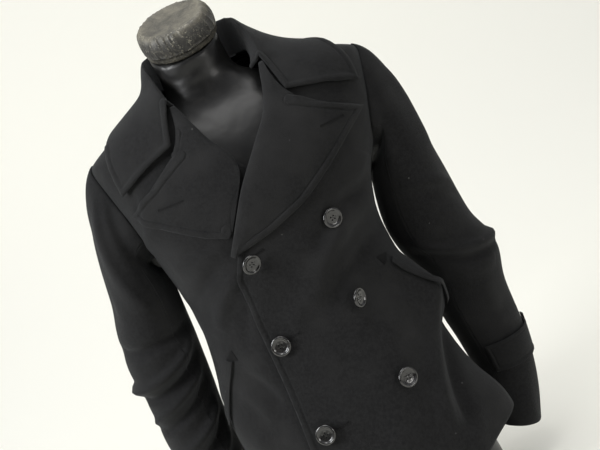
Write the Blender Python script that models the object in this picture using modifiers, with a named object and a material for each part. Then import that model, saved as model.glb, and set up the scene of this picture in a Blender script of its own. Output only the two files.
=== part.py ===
"""A double-breasted pea coat on a limbless dress form, in the pieces that a maker cuts and sews.

Metres, +Z up. The coat's front faces -Y, the wearer's left is +X, and the origin is on the floor
under the form. Every cloth piece is a wall: a surface worked out from the sections below, with
its thickness added by Solidify.
"""

import math

import bmesh
import bpy
import numpy as np
from mathutils import Matrix, Vector
from mathutils.bvhtree import BVHTree

# Cloth
WALL = 0.002  # melton, one layer
SEAM_GAP = 0.0003  # between the edges of two panels that are sewn together
LAYER_GAP = 0.0012  # air between two layers that lie on each other

# The coat's heights above the floor
HEM = 0.104
UNDERARM = 0.555
SHOULDER_POINT = 0.709
NECK_POINT = 0.761
FRONT_EDGE = 0.081  # the front edges lap this far past the centre at the top button
FRONT_EDGE_HEM = 0.104  # and at the hem
LAP = 0.0030  # the over front stands out by this much at the lap, the under front in

# Buttons
BUTTON_RADIUS = 0.01425
BUTTON_HEIGHT = 0.0042
BUTTON_OUT = 0.0030  # the shank of thread under a button
BUTTON_HOLE = 0.0012
BUTTON_HOLE_SPREAD = 0.0029

# Pieces that lie on a panel
WELT_WIDTH = 0.012
WELT_WALL = 0.0012
WELT_GAP = 0.0016  # air between the welt and its panel's facets
STRAP_HEIGHTS = (0.158, 0.203)
STRAP_WALL = 0.0022
LOOP_WIDTH = 0.010

# The coat body: height, reach to the wearer's left, to the right, to the front, to the back,
# and how square the section is (2 is an ellipse)
COAT_SECTIONS = (
    (0.080, 0.172, 0.196, 0.176, 0.136, 2.3),
    (0.170, 0.168, 0.200, 0.168, 0.131, 2.3),
    (0.270, 0.150, 0.200, 0.154, 0.119, 2.25),
    (0.340, 0.142, 0.192, 0.142, 0.108, 2.2),
    (0.410, 0.138, 0.176, 0.134, 0.099, 2.2),
    (0.490, 0.142, 0.178, 0.139, 0.106, 2.2),
    (0.570, 0.182, 0.188, 0.142, 0.118, 2.3),
    (0.630, 0.205, 0.200, 0.132, 0.124, 2.3),
    (0.675, 0.213, 0.207, 0.113, 0.118, 2.3),
    (0.709, 0.210, 0.204, 0.095, 0.106, 2.3),
    (0.729, 0.163, 0.161, 0.083, 0.098, 2.3),
    (0.747, 0.120, 0.120, 0.071, 0.088, 2.2),
    (0.770, 0.074, 0.074, 0.055, 0.076, 2.1),
)
SHOULDER_TILT = -0.028  # the shoulder line drops to the wearer's left

# The largest folds of the body: from an angle and a height to another, half width, rise.
# Angles run in degrees from the wearer's left side, 90 at the front centre.
BODY_FOLDS = (
    (14, 0.06, 20, 0.15, 0.040, 0.030),
    (14, 0.322, 24, 0.345, 0.036, 0.040),
    (150, 0.275, 154, 0.300, 0.034, 0.012),
    (60, 0.36, 48, 0.50, 0.026, -0.007),
    (105, 0.48, 128, 0.36, 0.020, 0.006),
    (58, 0.10, 64, 0.22, 0.030, -0.006),
    (122, 0.10, 116, 0.24, 0.030, 0.006),
    (232, 0.10, 240, 0.30, 0.034, 0.008),
    (296, 0.10, 290, 0.32, 0.034, 0.007),
    (268, 0.36, 272, 0.46, 0.030, -0.006),
)
HEM_LIFTS = ((14, 30, 0.030), (152, 20, 0.006))  # angle, half width in degrees, rise

# Where the fronts turn out into their lapels: height, and how far across on the over front
# and on the under front
BREAK_LINE = (
    (0.504, -0.078, 0.078),
    (0.607, -0.007, 0.009),
    (0.636, 0.026, -0.014),
    (0.670, 0.059, -0.036),
    (0.720, 0.078, -0.053),
    (0.738, 0.082, -0.060),
    (0.770, 0.088, -0.068),
)

# Lapels: step along the break line, inner end (across, height), outer end (across, height),
# and how much of the roll there is
LAPEL_OVER = (
    (0.00, -0.071, 0.518, -0.060, 0.5185, 0.6),
    (0.16, -0.047, 0.551, -0.010, 0.5265, 1.0),
    (0.34, -0.017, 0.592, 0.047, 0.5430, 1.0),
    (0.54, 0.022, 0.632, 0.110, 0.5775, 1.0),
    (0.74, 0.052, 0.664, 0.176, 0.6190, 1.0),
    (0.87, 0.0650, 0.6900, 0.1325, 0.6430, 1.0),
    (0.94, 0.0705, 0.7050, 0.1070, 0.6560, 1.0),
    (1.00, 0.0775, 0.7305, 0.0870, 0.6670, 0.5),
)
LAPEL_UNDER = (
    (0.00, -0.0580, 0.5480, -0.0660, 0.5425, 0.0),
    (0.17, -0.0385, 0.5750, -0.0900, 0.5530, 0.0),
    (0.34, -0.0130, 0.6120, -0.1120, 0.5690, 0.0),
    (0.45, -0.0110, 0.6280, -0.1300, 0.5830, 0.1),
    (0.54, -0.0190, 0.6420, -0.1440, 0.5930, 1.0),
    (0.74, -0.0370, 0.6700, -0.1740, 0.6230, 1.0),
    (0.87, -0.0450, 0.6920, -0.1250, 0.6440, 1.0),
    (0.94, -0.0500, 0.7060, -0.0980, 0.6560, 1.0),
    (1.00, -0.0575, 0.7305, -0.0745, 0.6655, 0.5),
)
PEAK = 0.74  # the step at which a lapel's point lies
# How a lapel turns out of its front: distance from the break line, height over the panel
LAPEL_TURN = ((-0.0030, -0.0022), (-0.0052, 0.0012), (-0.0028, 0.0058), (0.0060, 0.0084))
# and how it lies: share of the width, height over the panel
LAPEL_LIE = ((0.30, 0.0082), (0.55, 0.0066), (0.80, 0.0052), (1.00, 0.0046))
LAPEL_FLAT = 0.0046

# The collar's left half: angle from the back centre, then the seam at the neck, the fold line,
# a line across the fall and the outer edge, each as across, depth, height
COLLAR = (
    (0, 0, 0.078, 0.768, 0, 0.084, 0.828, 0, 0.106, 0.788, 0, 0.117, 0.738),
    (35, 0.046, 0.064, 0.768, 0.050, 0.070, 0.829, 0.071, 0.091, 0.785, 0.088, 0.108, 0.730),
    (65, 0.070, 0.034, 0.765, 0.070, 0.038, 0.820, 0.094, 0.052, 0.779, 0.126, 0.072, 0.730),
    (90, 0.072, 0.002, 0.760, 0.073, 0.006, 0.811, 0.100, 0.006, 0.773, 0.139, 0.018, 0.738),
    (110, 0.070, -0.028, 0.752, 0.074, -0.028, 0.791, 0.104, -0.044, 0.748, 0.162, -0.030, 0.718),
    (122, 0.066, -0.048, 0.744, 0.0740, -0.054, 0.765, 0.098, -0.078, 0.717, 0.177, -0.062, 0.688),
    (132, 0.060, -0.062, 0.733, 0.0720, -0.078, 0.7400, 0.0850, -0.104, 0.6830, 0.190, -0.090, 0.6555),
)
# The collar sits askew, to the wearer's left: how far, and between which turns it sets in, at
# the seam, the fold line, the middle and the edge
COLLAR_ASKEW = ((0.004, 90, 130), (0.0095, 90, 130), (0.005, 30, 95), (0.012, 30, 95))
COLLAR_OUT = 0.0082  # the fall stays at least this far off the coat

# The armhole is an ellipse in height and angle, its lower half wider
ARMHOLE_FRONT = 19
ARMHOLE_BACK = 33
ARMHOLE_DROP = 0.25

# Sleeves: height, across, depth, half width, half depth, and how much lower the outer side is
SLEEVE_LEFT = (
    (0.064, 0.197, 0.050, 0.034, 0.057, 0.012),
    (0.110, 0.212, 0.051, 0.040, 0.057, 0.006),
    (0.190, 0.220, 0.050, 0.049, 0.056, 0.002),
    (0.280, 0.217, 0.046, 0.056, 0.057, 0.0),
    (0.345, 0.223, 0.034, 0.060, 0.059, 0.0),
    (0.390, 0.206, 0.028, 0.061, 0.061, 0.0),
    (0.450, 0.2015, 0.021, 0.060, 0.064, 0.0),
    (0.520, 0.2060, 0.014, 0.0485, 0.069, 0.0),
)
SLEEVE_RIGHT = (
    (0.052, -0.237, 0.042, 0.034, 0.057, 0.008),
    (0.110, -0.244, 0.042, 0.039, 0.057, 0.004),
    (0.190, -0.253, 0.036, 0.044, 0.058, 0.002),
    (0.280, -0.257, 0.024, 0.049, 0.060, 0.0),
    (0.360, -0.249, 0.014, 0.052, 0.062, 0.0),
    (0.430, -0.2435, 0.010, 0.055, 0.065, 0.0),
    (0.480, -0.237, 0.008, 0.053, 0.068, 0.0),
    (0.520, -0.2290, 0.007, 0.046, 0.071, 0.0),
)
# Folds of the sleeves: side, angle round the sleeve, height, half width round, half height, rise
SLEEVE_FOLDS = (
    ("left", 60, 0.372, 60, 0.014, -0.007),
    ("left", 20, 0.345, 55, 0.020, 0.008),
    ("left", 100, 0.302, 50, 0.016, 0.004),
    ("right", 40, 0.415, 60, 0.016, 0.004),
    ("right", 70, 0.330, 55, 0.014, -0.006),
    ("right", 60, 0.300, 60, 0.014, 0.005),
    ("right", 80, 0.268, 55, 0.013, -0.005),
)
SLEEVE_SEAMS = (128, 292)  # fore and hind arm seams, in degrees round the sleeve, 0 outward

# Pocket mouths: from (angle, height) at the tack to (angle, height) at the lower end
POCKET_LEFT = ((36, 0.408), (17, 0.306))
POCKET_RIGHT = ((142, 0.384), (160, 0.284))

# Buttons: name, across, height
BUTTONS = (
    ("button_right_1", -0.0530, 0.5005),
    ("button_right_2", -0.0695, 0.3785),
    ("button_right_3", -0.0690, 0.2480),
    ("button_left_1", 0.0670, 0.5045),
    ("button_left_2", 0.0480, 0.3905),
    ("button_left_3", 0.0600, 0.2650),
)

# The dress form: height, half width, reach to the front, to the back
FORM_SECTIONS = (
    (0.000, 0.160, 0.116, 0.108),
    (0.080, 0.156, 0.122, 0.108),
    (0.200, 0.140, 0.112, 0.100),
    (0.300, 0.124, 0.102, 0.088),
    (0.400, 0.114, 0.098, 0.080),
    (0.500, 0.126, 0.106, 0.088),
    (0.580, 0.152, 0.110, 0.096),
    (0.630, 0.168, 0.100, 0.098),
    (0.668, 0.172, 0.084, 0.090),
    (0.692, 0.158, 0.070, 0.078),
    (0.710, 0.126, 0.058, 0.068),
    (0.726, 0.092, 0.052, 0.062),
    (0.744, 0.063, 0.050, 0.056),
    (0.765, 0.052, 0.050, 0.050),
)
FORM_CENTRE = -0.008
FORM_SIDES = 24
NECK_LEAN = -0.026  # how far the neck's top leans forward
NECK_WAY = Vector((0, -0.20, 1))  # the way the neck rises to its cap
CAP_TILT = math.radians(30)
CAP_CENTRE = Vector((FORM_CENTRE + 0.002, -0.020, 0.836))
CAP_RADIUS = 0.0565
CAP_SIDE = 0.027  # how far the cap's side reaches down from its rim


def curve_through(rows):
    """Reads every column of a table at any height, on a smooth curve through its rows."""
    table = np.array(rows, float)
    at, values = table[:, 0], table[:, 1:]
    steps = np.diff(at)[:, None]
    slopes = np.diff(values, axis=0) / steps
    between = (slopes[1:] * steps[:-1] + slopes[:-1] * steps[1:]) / (steps[1:] + steps[:-1])
    tangents = np.vstack([slopes[:1], between, slopes[-1:]])

    def read(place):
        place = min(max(place, at[0]), at[-1])
        i = min(int(np.searchsorted(at, place, side="right")) - 1, len(at) - 2)
        step = at[i + 1] - at[i]
        t = (place - at[i]) / step
        return (
            values[i] * (1 + 2 * t) * (1 - t) ** 2
            + values[i + 1] * t * t * (3 - 2 * t)
            + tangents[i] * step * t * (1 - t) ** 2
            - tangents[i + 1] * step * t * t * (1 - t)
        )

    return read


coat_at = curve_through(COAT_SECTIONS)
form_at = curve_through(FORM_SECTIONS)
break_line_at = curve_through(BREAK_LINE)


def smooth_step(value, start, end):
    t = min(max((value - start) / (end - start), 0.0), 1.0)
    return t * t * (3 - 2 * t)


def powered(value, power):
    return math.copysign(abs(value) ** power, value)


def body_fold(angle, height):
    """How far the cloth stands out of its section here, from the table of folds."""
    total = 0.0
    place = Vector((math.radians(angle) * 0.16, height))
    for angle_a, height_a, angle_b, height_b, half_width, rise in BODY_FOLDS:
        a = Vector((math.radians(angle_a) * 0.16, height_a))
        along = Vector((math.radians(angle_b) * 0.16, height_b)) - a
        t = min(max((place - a).dot(along) / along.length_squared, 0.0), 1.0)
        away = (place - a - along * t).length
        total += rise * math.exp(-((away / half_width) ** 2))
    return total


def shoulder_drop(x, height):
    return SHOULDER_TILT * x * smooth_step(height, 0.60, 0.70)


def coat_point(angle, height):
    """A point of the coat body's outer face, by its angle in degrees and its height."""
    left, right, front, back, square = coat_at(height)
    c, s = math.cos(math.radians(angle)), math.sin(math.radians(angle))
    width = left if c > 0 else right
    depth = front if s > 0 else back
    x = width * powered(c, 2 / square)
    y = -depth * powered(s, 2 / square)
    out = Vector((powered(c, 2 - 2 / square) / width, -powered(s, 2 - 2 / square) / depth, 0))
    point = Vector((x, y, height)) + out.normalized() * body_fold(angle % 360, height)
    point.z += shoulder_drop(point.x, height)
    return point


def angle_of(x, y, height):
    left, right, front, back, square = coat_at(height)
    c = powered(x / (left if x > 0 else right), square / 2)
    s = powered(-y / (front if y < 0 else back), square / 2)
    return math.degrees(math.atan2(s, c)) % 360


def share_of(point):
    """1 on the coat's plain sections, less inside them and more outside."""
    height = point.z - shoulder_drop(point.x, point.z)
    left, right, front, back, square = coat_at(height)
    across = abs(point.x) / (left if point.x > 0 else right)
    deep = abs(point.y) / (front if point.y < 0 else back)
    return (across**square + deep**square) ** (1 / square)


def slope_of(point, step=0.001):
    """The direction in which `share_of` grows fastest, with its rate."""
    rates = []
    for axis in range(3):
        move = Vector((0, 0, 0))
        move[axis] = step
        rates.append((share_of(point + move) - share_of(point - move)) / (2 * step))
    return Vector(rates)


def outside(point):
    """How far the point stands off the coat body's outer face, folds included."""
    height = point.z - shoulder_drop(point.x, point.z)
    fold = body_fold(angle_of(point.x, point.y, height), height)
    return (share_of(point) - 1) / slope_of(point).length - fold


def settled(point, out, only_push=False):
    """The point moved to stand `out` off the coat body. With only_push it never moves in."""
    point = Vector(point)
    for _ in range(6):
        short = out - outside(point)
        if only_push and short < 0:
            break
        point += slope_of(point).normalized() * short
    return point


def front_point(x, height, out=0.0):
    """The point of the coat's front at this place across and height, moved out."""
    left, right, front, _, square = coat_at(height)
    angle = math.degrees(math.acos(max(-1, min(1, powered(x / (left if x > 0 else right), square / 2)))))
    on_face = coat_point(angle, height)
    return on_face + slope_of(on_face).normalized() * out


def armhole_angle(turn):
    """Height and angle of the armhole's edge at a turn in degrees: 0 at the shoulder, 180 below."""
    c, s = math.cos(math.radians(turn)), math.sin(math.radians(turn))
    height = (SHOULDER_POINT + UNDERARM) / 2 + c * (SHOULDER_POINT - UNDERARM) / 2
    reach = ARMHOLE_FRONT if s > 0 else ARMHOLE_BACK
    return height, s * reach * (1 - ARMHOLE_DROP * c)


# ----- objects from points

def material_for(name, colour, roughness):
    material = bpy.data.materials.new(name)
    material.use_nodes = True
    shader = material.node_tree.nodes["Principled BSDF"]
    shader.inputs["Base Color"].default_value = (*colour, 1)
    shader.inputs["Roughness"].default_value = roughness
    return material


def object_from(name, mesh_data, material):
    mesh = bpy.data.meshes.new(name)
    mesh_data.to_mesh(mesh)
    mesh_data.free()
    mesh.materials.append(material)
    mesh.shade_smooth()
    made = bpy.data.objects.new(name, mesh)
    parts.objects.link(made)
    return made


def sheet_of(rows, closed=False):
    """A surface through rows of points, one quad between each four."""
    surface = bmesh.new()
    grid = [[surface.verts.new(point) for point in row] for row in rows]
    for lower, upper in zip(grid, grid[1:]):
        pairs = list(zip(lower, lower[1:], upper[1:], upper))
        if closed:
            pairs.append((lower[-1], lower[0], upper[0], upper[-1]))
        for corners in pairs:
            surface.faces.new(corners)
    return surface


def cloth(name, rows, material, wall=WALL, centred=False, closed=False, flip=False):
    """A cloth piece: the sheet is its outer face, or its middle, and Solidify gives the wall."""
    surface = sheet_of(rows, closed)
    if flip:
        bmesh.ops.reverse_faces(surface, faces=surface.faces)
    made = object_from(name, surface, material)
    solidify = made.modifiers.new("wall", "SOLIDIFY")
    solidify.thickness = wall
    solidify.offset = 0 if centred else -1
    solidify.use_even_offset = True
    return made


def spread(start, end, count):
    return [start + (end - start) * i / (count - 1) for i in range(count)]


# ----- the coat body

def panel_heights():
    """Heights of the panels' rows: hem to underarm, round the armhole, and up the shoulder."""
    lower = spread(HEM, UNDERARM, 14)[:-1]
    armhole = [armhole_angle(turn)[0] for turn in spread(180, 0, 9)]
    upper = spread(SHOULDER_POINT, NECK_POINT, 6)[1:]
    return lower + armhole + upper


def hem_rise(angle, height):
    rise = 0.0
    for centre, half_width, most in HEM_LIFTS:
        away = (angle - centre + 180) % 360 - 180
        rise += most * math.exp(-((away / half_width) ** 2))
    return rise * (1 - smooth_step(height, HEM, HEM + 0.10))


def side_angle(height, front):
    """The angle of a panel's side edge on the wearer's left: side seam, armhole, shoulder seam."""
    middle, half = (SHOULDER_POINT + UNDERARM) / 2, (SHOULDER_POINT - UNDERARM) / 2
    c = (height - middle) / half
    if abs(c) >= 1:
        return 0.0
    turn = math.degrees(math.acos(c))
    return abs(armhole_angle(turn if front else -turn)[1])


def seam_turn(height):
    """The angle that half a seam's gap takes up at the side."""
    left = coat_at(height)[0]
    return math.degrees(SEAM_GAP / 2 / left) * 3


def lap_shift(x, side):
    """How far a front stands out (over) or in (under) where the two lap."""
    if side > 0:
        return LAP * (1 - smooth_step(x, 0.085, 0.125))
    return -LAP * smooth_step(x, -0.125, -0.085)


def front_edge(height, side):
    """How far across a front's inner edge is, with side 1 for the over front, -1 for the under."""
    low, top = HEM, BREAK_LINE[0][0]
    if height <= top:
        return -side * (FRONT_EDGE_HEM + (FRONT_EDGE - FRONT_EDGE_HEM) * (height - low) / (top - low))
    over, under = break_line_at(height)
    return over + 0.003 if side > 0 else under - 0.003


def make_front(name, side, material):
    rows = []
    for height in panel_heights():
        left, right, _, _, square = coat_at(height)
        edge_x = front_edge(height, side)
        reach = left if edge_x > 0 else right
        edge_angle = math.degrees(math.acos(powered(edge_x / reach, square / 2)))
        gap = seam_turn(height)
        start = side_angle(height, True) + gap
        if side < 0:
            start = 180 - start
        row = []
        for angle in spread(start, edge_angle, 12):
            point = coat_point(angle, height + hem_rise(angle, height))
            row.append(settled(point, lap_shift(point.x, side)))
        rows.append(row)
    return cloth(name, rows, material, flip=side > 0)


def make_back(name, material):
    rows = []
    for height in panel_heights():
        start = 360 - side_angle(height, False) - seam_turn(height)
        end = 180 + side_angle(height, False) + seam_turn(height)
        angles = spread(start, end, 16)
        rows.append([coat_point(angle, height + hem_rise(angle, height)) for angle in angles])
    return cloth(name, rows, material)


# ----- sleeves

SLEEVE_TURNS = 16
CAP_ROWS = 6
CAP_BULGE = {1: 0.086, -1: 0.070}  # pull of the sleeve head outward at the armhole, by side
CAP_FALL = 0.12  # pull down into the sleeve
UNDERARM_OUT = 0.050  # pulls at the armhole's low side
UNDERARM_FALL = 0.004


def sleeve_ring(rows_at, height, turn, side):
    x, y, half_width, half_depth, drop = rows_at(height)
    c, s = math.cos(math.radians(turn)), math.sin(math.radians(turn))
    rise = 0.0
    which = "left" if side > 0 else "right"
    for fold_side, fold_turn, fold_height, wide, tall, most in SLEEVE_FOLDS:
        if fold_side != which:
            continue
        away = (turn - fold_turn + 180) % 360 - 180
        rise += most * math.exp(-((away / wide) ** 2) - ((height - fold_height) / tall) ** 2)
    return Vector(
        (
            x + side * (half_width + rise) * c,
            y - (half_depth + rise) * s,
            height - drop * c,
        )
    )


def sleeve_point(rows_at, top, along, turn, side):
    """A point of the sleeve: along runs 0 at the armhole, 1 at the ring under the head."""
    height, angle = armhole_angle(turn)
    if side < 0:
        angle = 180 - angle
    seam = coat_point(angle, height)
    out = Vector((side, 0, 0)) + slope_of(seam).normalized()
    out.z = max(out.z, 0) * 0.3
    out.normalize()
    c = math.cos(math.radians(turn))
    seam += out * SEAM_GAP * (4.5 - 1.5 * c)
    ring = sleeve_ring(rows_at, top, turn, side)
    start = out * (CAP_BULGE[side] * (0.5 + 0.5 * c) + UNDERARM_OUT * (1 - c))
    start.z -= UNDERARM_FALL * (1 - c)
    end = Vector((0, 0, -CAP_FALL * (1 + 0.55 * c) * 0.8))
    t = along
    return (
        seam * (1 + 2 * t) * (1 - t) ** 2
        + ring * t * t * (3 - 2 * t)
        + start * t * (1 - t) ** 2
        - end * t * t * (1 - t)
    )


def make_sleeve(name, side, table, turns, material):
    """One of a sleeve's two pieces, between two angles round the arm."""
    rows_at = curve_through(table)
    low, top = table[0][0], table[-1][0]
    gap = math.degrees(SEAM_GAP / 2 / 0.05)
    start, end, count = turns
    angles = spread(start + gap, end - gap, count)
    rows = []
    for along in spread(0, 1, CAP_ROWS):
        rows.append([sleeve_point(rows_at, top, along, turn, side) for turn in angles])
    for height in spread(top, low, 15)[1:]:
        rows.append([sleeve_ring(rows_at, height, turn, side) for turn in angles])
    return cloth(name, rows, material, flip=side > 0)


def make_strap(name, side, table, turns, heights, out, wall, material):
    """A band that lies round a sleeve."""
    rows_at = curve_through(table)
    rows = []
    for height in heights:
        row = []
        for turn in turns:
            point = sleeve_ring(rows_at, height, turn, side)
            x, y = rows_at(height)[:2]
            away = Vector((point.x - x, point.y - y, 0))
            row.append(point + away.normalized() * out)
        rows.append(row)
    return cloth(name, rows, material, wall=wall, flip=side < 0)


# ----- lapels, collar and pockets

def make_lapel(name, table, side, material):
    """Rows run up the break line; each row turns out of the front and lies on it."""
    rows = []
    for step in spread(0, PEAK, 10) + spread(PEAK, 1, 5)[1:]:
        inner_x, inner_z, outer_x, outer_z, roll = linear_row(table, step)
        inner = Vector((inner_x, inner_z))
        across = Vector((outer_x, outer_z)) - inner
        before, after = linear_row(table, step - 0.1), linear_row(table, step + 0.1)
        away = Vector((after[1] - before[1], before[0] - after[0])).normalized() * side
        turned = [(*(inner + away * distance * roll), out) for distance, out in LAPEL_TURN]
        if roll < 0.5:
            turned = [(*(inner + away * 0.002 * i), LAPEL_FLAT) for i in range(4)]
        lying = [(*(inner + across * share), out) for share, out in LAPEL_LIE]
        row = []
        for x, z, out in turned[:-1] + resampled(turned[-1:] + lying, 8):
            out = LAPEL_FLAT + (out - LAPEL_FLAT) * max(roll, 0.2)
            row.append(front_point(x, z, out + lap_shift(x, side)))
        rows.append(row)
    made = cloth(name, rows, material, centred=True, flip=side < 0)
    made.modifiers["wall"].use_even_offset = False
    return made


def linear_row(table, place):
    rows = np.array(table, float)
    return [float(np.interp(place, rows[:, 0], rows[:, i])) for i in range(1, rows.shape[1])]


def resampled(points, count):
    """The same polyline with a set number of points, evenly spaced."""
    points = [Vector(point) for point in points]
    lengths = [0.0]
    for a, b in zip(points, points[1:]):
        lengths.append(lengths[-1] + (b - a).length)
    result = []
    for at in spread(0, lengths[-1], count):
        i = min(int(np.searchsorted(lengths, at, side="right")) - 1, len(points) - 2)
        t = (at - lengths[i]) / (lengths[i + 1] - lengths[i])
        result.append(points[i].lerp(points[i + 1], min(t, 1)))
    return result


def make_collar(name, material):
    """Stand and fall in one, from one front end round the back of the neck to the other."""
    read = curve_through(COLLAR)
    last = COLLAR[-1][0]
    rows = []
    for turn in spread(-last, last, 29):
        values = read(abs(turn))
        mirror = Vector((math.copysign(1, turn), 1, 1))
        corners = []
        for i, (askew, start, full) in enumerate(COLLAR_ASKEW):
            corner = Vector(a * b for a, b in zip(values[3 * i : 3 * i + 3], mirror))
            corner.x += askew * smooth_step(abs(turn), start, full)
            corners.append(corner)
        seam, fold, middle, edge = corners
        row = [seam, seam.lerp(fold, 0.5)]
        row += [fold.lerp(middle, share) for share in (0.0, 0.3, 0.65)]
        row += [middle.lerp(edge, share) for share in (0.0, 0.33, 0.66, 1.0)]
        rounded = Vector((0, 0, 0.004))
        row[2] = row[2] + rounded
        placed = []
        for i, point in enumerate(row):
            if i == len(row) - 1:
                point = settled(point, COLLAR_OUT)
            elif i >= 3:
                point = settled(point, COLLAR_OUT + 0.0005, only_push=True)
            placed.append(point)
        rows.append(placed)
    return cloth(name, rows, material, wall=WALL, centred=True)


def make_welt(name, mouth, panel, material):
    """A narrow strip along the pocket mouth, lying on its front's own facets."""
    graph = bpy.context.evaluated_depsgraph_get()
    faces = BVHTree.FromObject(panel, graph)
    (angle_a, height_a), (angle_b, height_b) = mouth
    rows = []
    for t in spread(0, 1, 11):
        angle = angle_a + (angle_b - angle_a) * t
        height = height_a + (height_b - height_a) * t
        middle = coat_point(angle, height)
        ahead = coat_point(angle + (angle_b - angle_a) * 0.05, height + (height_b - height_a) * 0.05)
        along = (ahead - middle).normalized()
        sideways = slope_of(middle).normalized().cross(along)
        row = []
        for share in (-0.5, 0, 0.5):
            point = settled(middle + sideways * WELT_WIDTH * share, 0.004)
            on_face, normal, _, _ = faces.find_nearest(point)
            row.append(on_face + normal * (WELT_GAP + WELT_WALL))
        rows.append(row)
    return cloth(name, rows, material, wall=WELT_WALL, flip=True)


# ----- buttons

def make_button_mesh(material):
    """A turned disc with a raised rim and a dished middle, and four holes through it."""
    outline = (
        (0.0, BUTTON_HEIGHT * 0.62),
        (BUTTON_RADIUS * 0.52, BUTTON_HEIGHT * 0.62),
        (BUTTON_RADIUS * 0.68, BUTTON_HEIGHT * 0.74),
        (BUTTON_RADIUS * 0.80, BUTTON_HEIGHT),
        (BUTTON_RADIUS * 0.92, BUTTON_HEIGHT * 0.92),
        (BUTTON_RADIUS, BUTTON_HEIGHT * 0.55),
        (BUTTON_RADIUS * 0.90, BUTTON_HEIGHT * 0.12),
        (BUTTON_RADIUS * 0.60, 0.0),
        (0.0, 0.0),
    )
    profile = bmesh.new()
    points = [profile.verts.new((radius, 0, height)) for radius, height in outline]
    for a, b in zip(points, points[1:]):
        profile.edges.new((a, b))
    blank = object_from("button_blank", profile, material)
    screw = blank.modifiers.new("turned", "SCREW")
    screw.steps = screw.render_steps = 16
    screw.use_merge_vertices = True
    screw.merge_threshold = 0.0001
    graph = bpy.context.evaluated_depsgraph_get()
    turned = bmesh.new()
    turned.from_mesh(bpy.data.meshes.new_from_object(blank.evaluated_get(graph)))
    bpy.data.objects.remove(blank)
    bmesh.ops.remove_doubles(turned, verts=turned.verts, dist=0.0001)
    bmesh.ops.recalc_face_normals(turned, faces=turned.faces)
    disc = object_from("button_disc", turned, material)
    punch = bmesh.new()
    for quarter in range(4):
        angle = math.radians(45 + 90 * quarter)
        place = Matrix.Translation(
            (
                math.cos(angle) * BUTTON_HOLE_SPREAD,
                math.sin(angle) * BUTTON_HOLE_SPREAD,
                BUTTON_HEIGHT / 2,
            )
        )
        bmesh.ops.create_cone(
            punch,
            cap_ends=True,
            segments=6,
            radius1=BUTTON_HOLE,
            radius2=BUTTON_HOLE,
            depth=BUTTON_HEIGHT * 3,
            matrix=place,
        )
    cutter = object_from("button_punch", punch, material)
    holes = disc.modifiers.new("holes", "BOOLEAN")
    holes.object = cutter
    graph = bpy.context.evaluated_depsgraph_get()
    mesh = bpy.data.meshes.new_from_object(disc.evaluated_get(graph))
    mesh.name = "button"
    bpy.data.objects.remove(disc)
    bpy.data.objects.remove(cutter)
    return mesh


def place_button(name, mesh, x, height):
    made = bpy.data.objects.new(name, mesh)
    parts.objects.link(made)
    at = front_point(x, height, 0)
    out = slope_of(at).normalized()
    made.location = at + out * (BUTTON_OUT + max(lap_shift(x, 1), 0))
    made.rotation_mode = "QUATERNION"
    made.rotation_quaternion = out.to_track_quat("Z", "Y")
    return made


# ----- the dress form

def form_ring(height, count):
    half_width, front, back = form_at(height)
    lean = NECK_LEAN * smooth_step(height, 0.735, 0.86)
    ring = []
    for i in range(count):
        angle = 2 * math.pi * i / count
        c, s = math.cos(angle), math.sin(angle)
        depth = front if s > 0 else back
        ring.append(Vector((FORM_CENTRE + half_width * c, lean - depth * s, height)))
    return ring


def under_cap(point):
    """The point carried up the neck to just under the cap's flat underside."""
    up = Vector((0, -math.sin(CAP_TILT), math.cos(CAP_TILT)))
    short = (CAP_CENTRE - up * (CAP_SIDE + SEAM_GAP) - point).dot(up)
    return point + NECK_WAY * (short / NECK_WAY.dot(up))


def make_form(material):
    heights = spread(0.0, 0.60, 10) + spread(0.60, 0.744, 9)[1:] + [0.754, 0.764]
    rings = [form_ring(height, FORM_SIDES) for height in heights]
    rings.append([under_cap(point) for point in rings[-1]])
    surface = sheet_of(rings, closed=True)
    surface.verts.ensure_lookup_table()
    surface.faces.new(list(reversed(surface.verts[:FORM_SIDES])))
    surface.faces.new(surface.verts[-FORM_SIDES:])
    bmesh.ops.recalc_face_normals(surface, faces=surface.faces)
    return object_from("form_torso", surface, material)


def make_cap(material):
    """The neck's cap: a turned block with a rounded rim, tilted with the neck."""
    outline = (
        (0.0, 0.0120),
        (CAP_RADIUS * 0.55, 0.0132),
        (CAP_RADIUS * 0.80, 0.0130),
        (CAP_RADIUS * 0.93, 0.0080),
        (CAP_RADIUS, -0.0010),
        (CAP_RADIUS * 0.99, -0.0140),
        (CAP_RADIUS * 0.95, -CAP_SIDE),
        (0.0, -CAP_SIDE),
    )
    profile = bmesh.new()
    points = [profile.verts.new((radius, 0, height)) for radius, height in outline]
    for a, b in zip(points, points[1:]):
        profile.edges.new((a, b))
    made = object_from("form_cap", profile, material)
    screw = made.modifiers.new("turned", "SCREW")
    screw.steps = screw.render_steps = 28
    screw.use_merge_vertices = True
    screw.merge_threshold = 0.0001
    made.location = CAP_CENTRE
    made.rotation_euler = (CAP_TILT, 0, 0)
    return made


# ----- the whole

for old in list(bpy.data.objects):
    bpy.data.objects.remove(old)
parts = bpy.data.collections.new("pea_coat_on_dress_form")
bpy.context.scene.collection.children.link(parts)

wool = material_for("melton", (0.012, 0.013, 0.016), 0.9)
horn = material_for("button_resin", (0.010, 0.010, 0.011), 0.25)
cover = material_for("form_cover", (0.015, 0.015, 0.016), 0.3)

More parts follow.
